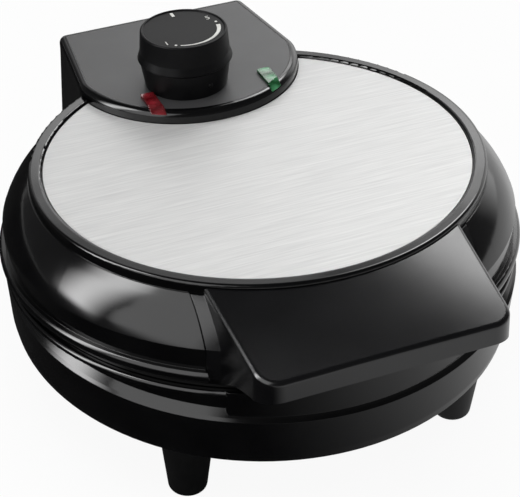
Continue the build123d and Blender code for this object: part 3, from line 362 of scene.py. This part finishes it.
heater_steel = lined_metal(
    "heater_heat_tinted_steel", "#4a4038", "#6f6a66", rough=0.38, line=0.3, run=6, depth=0.01)
shield_steel = lined_metal(
    "shield_aluminised_steel", "#a9a9a6", "#bdbdb9", rough=0.33, line=0.5, run=30, depth=0.01)
zinc_steel = lined_metal(
    "screw_zinc_plated_steel", "#a7a9ac", "#c3c4c2", rough=0.28, line=0.2, run=3, depth=0.006)
turned_steel = lined_metal(
    "pin_turned_steel", "#9a9a9a", "#b4b4b2", rough=0.25, line=0.2, run=4, depth=0.006)
print("metals:", heater_steel.name, shield_steel.name, zinc_steel.name, turned_steel.name)

# %% [markdown]
# ## Small mouldings
# The feet and the cord bush are soft, matt rubber with a dusty bloom. The
# terminal block is white nylon, and the thermostat is a body of steatite, a
# chalky ceramic. The scale on the knob is white pad-printed ink, slightly
# uneven in tone. The pilot lamps are clear glass with a faint pink film.

# %% Small mouldings
def matt_solid(name, dark, light, rough, pit, depth, ior=1.5, **more):
    """Matt material with fine pits and clouds of two shades."""
    material, shader = start(name, IOR=ior, **more)
    where = place_of(material)
    clouds = grain(material, where, size=5, detail=4, roughness=0.6)
    fine = grain(material, where, pit)
    plug(material, shader, {
        "Base Color": ramp(material, clouds, {0.3: dark, 0.7: light}),
        "Roughness": level(material, fine, rough - SHEEN_SPREAD, rough + SHEEN_SPREAD),
        "Normal": relief(material, fine, depth, under=soft_edge(material, radius=0.25)),
    })
    return material


pad_rubber = matt_solid("foot_pad_rubber", "#26262a", "#323236", rough=0.75, pit=0.5, depth=0.03)
bush_rubber = matt_solid("cord_bush_rubber", "#141415", "#1e1e20", rough=0.62, pit=0.5, depth=0.03)
nylon = matt_solid(
    "terminal_white_nylon", "#d9d5c9", "#e6e2d7", rough=0.5, pit=0.6, depth=0.01, ior=1.53,
    Subsurface_Weight=0.1)
steatite = matt_solid("thermostat_steatite", "#cfc8b8", "#ddd7c9", rough=0.7, pit=0.4, depth=0.02)
pad_ink = matt_solid("scale_white_pad_ink", "#cfcfca", "#e8e8e4", rough=0.42, pit=0.3, depth=0.005)
lamp_glass, shader = start("pilot_lamp_glass", IOR=1.5, Roughness=0.05, Transmission_Weight=0.9)
film = grain(lamp_glass, place_of(lamp_glass), size=2)
plug(lamp_glass, shader, {"Base Color": ramp(lamp_glass, film, {0.3: "#e8d9cf", 0.7: "#f4ece6"})})
print("small mouldings:", [m.name for m in (pad_rubber, bush_rubber, nylon, steatite, pad_ink)])

# %% [markdown]
# ## Which finish goes where
# Each solid keeps its shape and only changes its finish. A solid's one
# material slot is overwritten, so nothing is left of the plain colours that it
# came with.

# %% Which finish goes where
finishes = {
    housing_abs: ["base_shell", "lid_shell"],
    panel_abs: ["control_panel"],
    handle_abs: ["handle"],
    knob_abs: ["knob", "knob_collar"],
    cover_abs: ["bottom_cover"],
    plate_lacquer: ["panel_fascia"],
    brushed_steel: ["top_disc"],
    ptfe: ["lower_plate", "upper_plate"],
    red_acrylic: ["power_lens"],
    green_acrylic: ["ready_lens"],
    lamp_glass: ["pilot_lamps"],
    heater_steel: ["lower_heater", "upper_heater"],
    shield_steel: ["lower_heat_shield", "upper_heat_shield"],
    zinc_steel: [
        "bottom_cover_screws", "panel_screws", "handle_screws", "lower_plate_screws",
        "upper_plate_screws", "thermostat_bracket",
    ],
    turned_steel: ["hinge_pins", "thermostat_shaft"],
    pad_rubber: ["foot_pads"],
    bush_rubber: ["cord_gland"],
    nylon: ["terminal_block"],
    steatite: ["thermostat"],
    pad_ink: ["dial_marks"],
}
for material, names in finishes.items():
    for name in names:
        nodes[name].data.materials.clear()
        nodes[name].data.materials.append(material)
dressed = {name for names in finishes.values() for name in names}
print("dressed:", len(dressed), "still plain:", sorted(set(nodes) - dressed))

# %% [markdown]
# ## Numbers on the knob
# The printed scale runs from its thin end to its thick end, with a dot beyond
# each. A plain 1 and 5 stand by the dots, upright for someone at the handle.
# They are text objects, because text stays sharp at any size, thickened to
# 0.1 mm, a little less than the ink beside them. Their frame is the knob's
# own: its axis comes from the joint, and its printed face lies 26 mm above the
# panel. Every place below is in millimetres, across and away from someone at
# the handle.

# %% Numbers on the knob
knob_joint = next(joint for joint in frame["joints"] if joint["name"] == "thermostat_knob")
knob_axis = Vector(knob_joint["axis"]).normalized()
KNOB_FACE = 26.0
NUMBER_SIZE = 4.6
INK_LIFT = 0.06    # from the knob's face to the middle of the ink
INK_HALF = 0.05    # half the thickness of the ink
ink_middle = Vector(knob_joint["pos_m"]) + knob_axis * (KNOB_FACE + INK_LIFT) * MM
across = Vector((1, 0, 0))
away = knob_axis.cross(across)
NUMBERS = {"1": (-11.6, -10.0), "5": (13.6, 5.8)}
for text, (x, y) in NUMBERS.items():
    curve = bpy.data.curves.new("number_" + text, "FONT")
    curve.body = text
    curve.size = NUMBER_SIZE * MM
    curve.align_x = curve.align_y = "CENTER"
    curve.extrude = INK_HALF * MM
    curve.materials.append(pad_ink)
    number = bpy.data.objects.new("knob_number_" + text, curve)
    bpy.context.scene.collection.objects.link(number)
    spot = ink_middle + across * x * MM + away * y * MM
    turn = Matrix((across, away, knob_axis)).transposed().to_4x4()
    number.matrix_world = Matrix.Translation(spot) @ turn
    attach(number, "knob")
print("numbers:", sorted(NUMBERS))

# %% [markdown]
# ## Floor and backdrop
# The photograph has a clean white ground. The floor is a large, nearly white
# sheet. A camera ray, a mirror ray or a ray through glass sees it mostly as
# plain white, mixed with its lit colour so that a soft shadow stays. The world
# does the same for the backdrop. Behind the object it is white paper, and
# elsewhere a dim studio, so that the black plastic stays black.

# %% Floor and backdrop
def sheet(name, half_w, half_h, material):
    """Flat rectangle of one material."""
    mesh = bpy.data.meshes.new(name)
    signs = ((-1, -1), (1, -1), (1, 1), (-1, 1))
    mesh.from_pydata([(x * half_w, y * half_h, 0) for x, y in signs], [], [(0, 1, 2, 3)])
    mesh.materials.append(material)
    piece = bpy.data.objects.new(name, mesh)
    bpy.context.scene.collection.objects.link(piece)
    return piece


FLOOR_HALF = 6.0
WHITE_SHARE = 0.93
paper, shader = start("white_paper", Roughness=0.9, Specular_IOR_Level=0.1)
fibres = grain(paper, place_of(paper), size=3, detail=3)
plug(paper, shader, {"Base Color": ramp(paper, fibres, {0.2: "#f3f3f3", 0.8: "#f6f6f6"})})
glow = add(paper, "Emission", {"Color": WHITE, "Strength": 1.0})
path = add(paper, "LightPath").outputs
mirror_ray = calc(paper, "MAXIMUM", path["Is Glossy Ray"], path["Is Transmission Ray"])
seen_ray = calc(paper, "MAXIMUM", path["Is Camera Ray"], mirror_ray)
white_share = calc(paper, "MULTIPLY", seen_ray, WHITE_SHARE)
layers = {0: white_share, 1: shader.outputs["BSDF"], 2: glow.outputs["Emission"]}
show(paper, add(paper, "MixShader", layers).outputs["Shader"])
floor = sheet("floor", FLOOR_HALF, FLOOR_HALF, paper)
print("floor:", 2 * FLOOR_HALF, "m wide")

# %% [markdown]
# ## The room in the reflections
# A black glossy object shows the room more than itself. The world is written
# by direction. Behind the object, as seen from the camera, a white sweep rises
# to about 40 degrees. It is brighter on the right and fades out at the far
# left. The rest is a dim grey, nearly black overhead. Dot products with two
# level directions, ahead and aside, tell where a ray goes. A camera ray sees
# plain white everywhere, and a diffuse ray sees an even grey, so the lighting
# stays plain.

# %% The room in the reflections
world = bpy.data.worlds.new("studio")
bpy.context.scene.world = world
world.use_nodes = True
background = world.node_tree.nodes["Background"]
direction = add(world, "TexCoord").outputs["Generated"]
split = add(world, "SeparateXYZ", {"Vector": direction}).outputs
BEARING = math.radians(22.67)
AHEAD = (math.sin(BEARING), math.cos(BEARING), 0)
ASIDE = (math.cos(BEARING), -math.sin(BEARING), 0)
SWEEP_LEFT, SWEEP_RIGHT = 0.9, 1.8    # brightness of the white sweep
ROOM = 0.12                           # of the dim grey
OVERHEAD = 0.06                       # of what is overhead
EVEN_GREY = 0.55                      # of what a diffuse ray sees
ahead = add(world, "VectorMath", {0: direction, 1: AHEAD}, operation="DOT_PRODUCT").outputs["Value"]
aside = add(world, "VectorMath", {0: direction, 1: ASIDE}, operation="DOT_PRODUCT").outputs["Value"]
paper_light = fade(world, aside, low=-0.25, high=0.45, at_low=SWEEP_LEFT, at_high=SWEEP_RIGHT)
limits = [
    fade(world, aside, low=-0.7, high=-0.3, at_low=0.0, at_high=1.0),
    fade(world, ahead, low=0.5, high=0.8, at_low=0.0, at_high=1.0),
    fade(world, split["Z"], low=0.55, high=0.78, at_low=1.0, at_high=0.0),
]
for limit in limits:
    paper_light = calc(world, "MULTIPLY", paper_light, limit)
sides = fade(world, split["Z"], low=0.35, high=0.7, at_low=ROOM, at_high=OVERHEAD)
mirrored = calc(world, "MAXIMUM", paper_light, sides)
rays = add(world, "LightPath").outputs
shiny = calc(world, "MAXIMUM", rays["Is Glossy Ray"], rays["Is Transmission Ray"])
seen_diffuse = calc(world, "MULTIPLY", rays["Is Diffuse Ray"], EVEN_GREY)
seen_shiny = calc(world, "MULTIPLY", shiny, mirrored)
seen = calc(world, "ADD", seen_diffuse, seen_shiny)
light = calc(world, "MAXIMUM", seen, rays["Is Camera Ray"])
plug(world, background, {"Color": WHITE, "Strength": light})
print("world:", world.name)

# %% [markdown]
# ## Softboxes
# Four softboxes shape the highlights. A tall bright one at the left and a wide
# dim one beside it put the broad grey patch on the lid's cone. The one at the
# rear right lights the corner of the handle, and a low, wide one behind lights
# the flat rim. A cloth softbox is brighter in the middle, so each is a plane
# that glows with soft edges. They show only in reflections. A very large,
# nearly black, round card lies on the floor, to the left and behind, and its
# soft edge passes under the object. It shows only in reflections too, and
# keeps the housing black on that side. A weak, wide lamp overhead lights the
# plain surfaces.

# %% Softboxes
def only_reflected(piece):
    """Stage piece that shows in reflections and nowhere else."""
    piece.visible_camera = False
    piece.visible_diffuse = False
    piece.visible_shadow = False


MIDDLE = Vector((0, 0, 0.08))    # what the softboxes face, in metres
SOFTBOX_AWAY = 1.1               # their distance from it, in metres
HALF = 0.5                       # of a plane's side, which runs from 0 to 1


def softbox(name, towards, size, strength, softness):
    """Glowing plane that faces the object, soft over a share of its width and height."""
    cloth, _ = start(name + "_cloth")
    here = add(cloth, "TexCoord").outputs["Generated"]
    split = add(cloth, "SeparateXYZ", {"Vector": here}).outputs
    power = strength
    for axis, soft in zip("XY", softness):
        off = calc(cloth, "ABSOLUTE", calc(cloth, "SUBTRACT", split[axis], HALF))
        weight = fade(cloth, off, low=HALF - soft, high=HALF, at_low=1.0, at_high=0.0)
        power = calc(cloth, "MULTIPLY", weight, power)
    show(cloth, add(cloth, "Emission", {"Color": WHITE, "Strength": power}).outputs["Emission"])
    box = sheet(name, size[0] / 2, size[1] / 2, cloth)
    aim = Vector(towards).normalized()
    facing = aim.to_track_quat("Z", "Y").to_matrix().to_4x4()
    box.matrix_world = Matrix.Translation(MIDDLE + aim * SOFTBOX_AWAY) @ facing
    only_reflected(box)


# Each one's direction, width and height in metres, strength, and softness
SOFTBOXES = {
    "softbox_left": ((-0.86, 0.16, 0.48), (0.62, 1.25), 14.0, (0.48, 0.15)),
    "softbox_front": ((-0.75, -0.36, 0.55), (1.0, 1.25), 2.6, (0.15, 0.1)),
    "softbox_rear_right": ((0.50, 0.50, 0.64), (0.7, 0.56), 13.0, (0.5, 0.34)),
    "softbox_behind": ((0.45, 0.89, 0.49), (1.0, 0.22), 4.2, (0.3, 0.4)),
}
for name, setup in SOFTBOXES.items():
    softbox(name, *setup)

CARD_RADIUS = 2.2
CARD_WHOLE = 0.9 * CARD_RADIUS    # the card fades out from here to its radius
CARD_GLOW = 0.02
CARD_AT = (-1.75, 0.9, 0.0005)
card_black, _ = start("card_black")
here = add(card_black, "TexCoord").outputs["Object"]
offset = add(card_black, "VectorMath", {0: here}, operation="LENGTH").outputs["Value"]
beyond = fade(card_black, offset, low=CARD_WHOLE, high=CARD_RADIUS, at_low=0.0, at_high=1.0)
clear = add(card_black, "BsdfTransparent").outputs["BSDF"]
dark = add(card_black, "Emission", {"Strength": CARD_GLOW}).outputs["Emission"]
show(card_black, add(card_black, "MixShader", {0: beyond, 1: dark, 2: clear}).outputs["Shader"])
card = sheet("black_card", CARD_RADIUS, CARD_RADIUS, card_black)
card.location = CARD_AT
only_reflected(card)

LAMP_WIDTH = 1.6
LAMP_WATTS = 14
LAMP_AT = (-0.2, -0.3, 1.9)
lamp = bpy.data.lights.new("overhead", "AREA")
lamp.shape = "DISK"
lamp.size = LAMP_WIDTH
lamp.energy = LAMP_WATTS
overhead = bpy.data.objects.new("overhead", lamp)
overhead.location = LAMP_AT
overhead.visible_glossy = False
bpy.context.scene.collection.objects.link(overhead)
print("placed:", [*SOFTBOXES, card.name, overhead.name])

# %% [markdown]
# ## Camera
# The camera stands at the front left, 845 mm from the object, and looks down
# by 38.6 degrees. These numbers were fitted to the outline of the housing, the
# disc and the feet. The photograph is 520 pixels wide, which with a 36 mm
# sensor makes the lens 132 mm.

# %% Camera
PIXELS = 520
FOCAL = 1907                    # pixels
SHIFT_X, SHIFT_Y = -0.7, 5.5    # pixels
SENSOR = 36                     # mm
AIM = Vector((0, -4.734, 54)) * MM
DISTANCE = 845 * MM
DIP = math.radians(38.57)
ROLL = math.radians(0.59)
forward = Vector(AHEAD) * math.cos(DIP) - Vector((0, 0, math.sin(DIP)))
level_right = Vector(ASIDE)
level_up = level_right.cross(forward)
right = level_right * math.cos(ROLL) + level_up * math.sin(ROLL)
up = level_up * math.cos(ROLL) - level_right * math.sin(ROLL)
camera_data = bpy.data.cameras.new("camera")
camera_data.sensor_width = SENSOR
camera_data.lens = FOCAL / PIXELS * SENSOR
camera_data.shift_x = SHIFT_X / PIXELS
camera_data.shift_y = SHIFT_Y / PIXELS
camera = bpy.data.objects.new("camera", camera_data)
facing = Matrix((right, up, -forward)).transposed().to_4x4()
camera.matrix_world = Matrix.Translation(AIM - forward * DISTANCE) @ facing
bpy.context.scene.collection.objects.link(camera)
bpy.context.scene.camera = camera
bpy.context.scene.view_settings.view_transform = "Standard"
print("lens:", round(camera_data.lens, 1), "mm, camera at", [round(v, 3) for v in camera.location])
